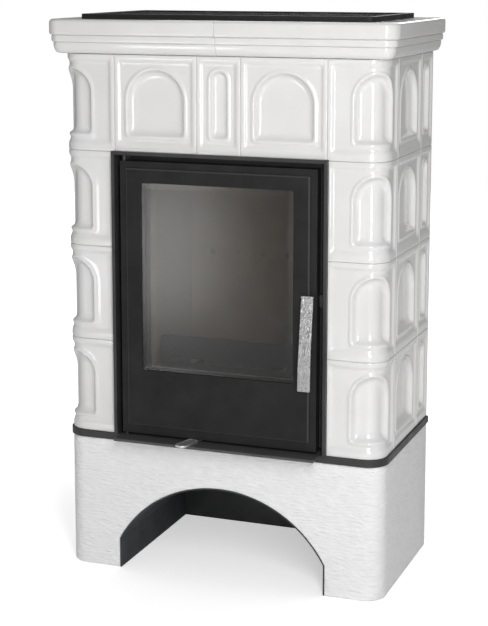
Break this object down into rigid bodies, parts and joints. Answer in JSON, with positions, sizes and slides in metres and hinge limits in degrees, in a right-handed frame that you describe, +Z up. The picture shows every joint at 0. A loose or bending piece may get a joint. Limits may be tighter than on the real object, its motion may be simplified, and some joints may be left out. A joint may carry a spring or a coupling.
{
  "type": "tiled wood stove",
  "caption": "Free-standing wood stove: rendered plinth with an arched log store, glazed niche tiles with a cornice, glazed fire door and top warm-air grille.",
  "frame": {"origin": "on the floor, under the middle of the whole outline with the handle, air lever and flue collar", "axes": "+Z up, +Y towards the back, so the door faces -Y and +X is to the right of someone who looks at the door"},
  "size_m": [0.765, 0.4744, 1.2058],
  "materials": {
    "white_glaze": "white stove glaze, high gloss, with soft rounded relief",
    "white_render": "matt white mineral render with a fine dragged stipple",
    "black_paint": "fine-grained matt black heat-resistant paint",
    "grey_steel": "smooth dark grey painted sheet steel",
    "cast_iron": "black cast iron",
    "fireclay": "porous light brown fireclay, smoked by the fire",
    "door_glass": "slightly tinted heat-resistant glass ceramic",
    "stainless": "stainless steel, hammered above and brushed below",
    "chrome": "polished chrome",
    "rope_seal": "dark glass-fibre rope"
  },
  "bodies": {
    "root": {"corner_tile_left_1": "white_glaze", "corner_tile_right_1": "white_glaze", "corner_tile_left_2": "white_glaze", "corner_tile_right_2": "white_glaze", "corner_tile_left_3": "white_glaze", "corner_tile_right_3": "white_glaze", "corner_tile_left_4": "white_glaze", "corner_tile_right_4": "white_glaze", "arch_tile_left_1": "white_glaze", "arch_tile_right_1": "white_glaze", "arch_tile_left_2": "white_glaze", "arch_tile_right_2": "white_glaze", "arch_tile_left_3": "white_glaze", "arch_tile_right_3": "white_glaze", "arch_tile_left_4": "white_glaze", "arch_tile_right_4": "white_glaze", "narrow_tile_left_1": "white_glaze", "narrow_tile_right_1": "white_glaze", "narrow_tile_left_2": "white_glaze", "narrow_tile_right_2": "white_glaze", "narrow_tile_left_3": "white_glaze", "narrow_tile_right_3": "white_glaze", "narrow_tile_left_4": "white_glaze", "narrow_tile_right_4": "white_glaze", "arch_tile_front_left": "white_glaze", "narrow_tile_front": "white_glaze", "arch_tile_front_right": "white_glaze", "cornice_left": "white_glaze", "cornice_right": "white_glaze", "plinth_shell": "white_render", "base_plate": "black_paint", "front_frame": "black_paint", "sill": "black_paint", "flue_collar": "black_paint", "arch_liner": "grey_steel", "plinth_back_panel": "grey_steel", "firebox_body": "grey_steel", "lintel_angle": "grey_steel", "rear_panel": "grey_steel", "hinge_pin_lower": "grey_steel", "hinge_pin_upper": "grey_steel", "ash_pan": "grey_steel", "top_grille": "cast_iron", "grate": "cast_iron", "log_guard": "cast_iron", "hearth_slab": "fireclay", "lining_left": "fireclay", "lining_right": "fireclay", "lining_back": "fireclay", "baffle": "fireclay"},
    "door": {"door_frame": "black_paint", "door_front_plate": "black_paint", "door_glass": "door_glass", "glass_retainer": "grey_steel", "door_gasket": "rope_seal"},
    "handle": {"handle_bar": "stainless", "handle_spindle": "grey_steel", "latch_cam": "grey_steel"},
    "air_control": {"air_lever": "chrome", "air_damper": "grey_steel"}
  },
  "joints": [
    {"name": "door_hinge", "type": "hinge", "parent": "root", "child": "door", "pos_m": [-0.211, -0.17778, 0.6], "axis": [0, 0, -1], "range_deg": [0, 110]},
    {"name": "handle_turn", "type": "hinge", "parent": "door", "child": "handle", "pos_m": [0.206, -0.19478, 0.6293], "axis": [0, -1, 0], "range_deg": [0, 50]},
    {"name": "air_lever_swing", "type": "hinge", "parent": "root", "child": "air_control", "pos_m": [-0.029, -0.10278, 0.31], "axis": [0, 0, 1], "range_deg": [-8, 36]}
  ]
}
